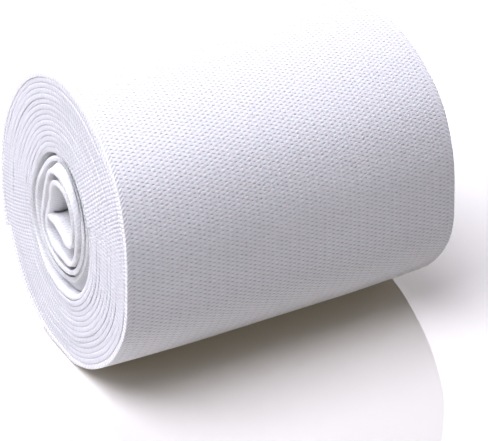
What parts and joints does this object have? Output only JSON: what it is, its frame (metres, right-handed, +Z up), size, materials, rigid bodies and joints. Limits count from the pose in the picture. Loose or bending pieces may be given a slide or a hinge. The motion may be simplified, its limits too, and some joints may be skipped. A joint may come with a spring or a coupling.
{
  "type": "roll of elastic",
  "caption": "Wide white knitted elastic tape wound into a short round roll, tight at the outside and loose around an open centre, lying on its side.",
  "frame": {"origin": "centre of the roll's bounding box in plan, on the surface it rests on", "axes": "+X along the roll from its near end to its far end, +Y to the left seen from the near end, +Z up"},
  "size_m": [0.1038, 0.0854, 0.0809],
  "materials": {
    "knit_elastic": "matte white rib-knitted elastic"
  },
  "bodies": {
    "root": {"roll": "knit_elastic"}
  },
  "joints": []
}
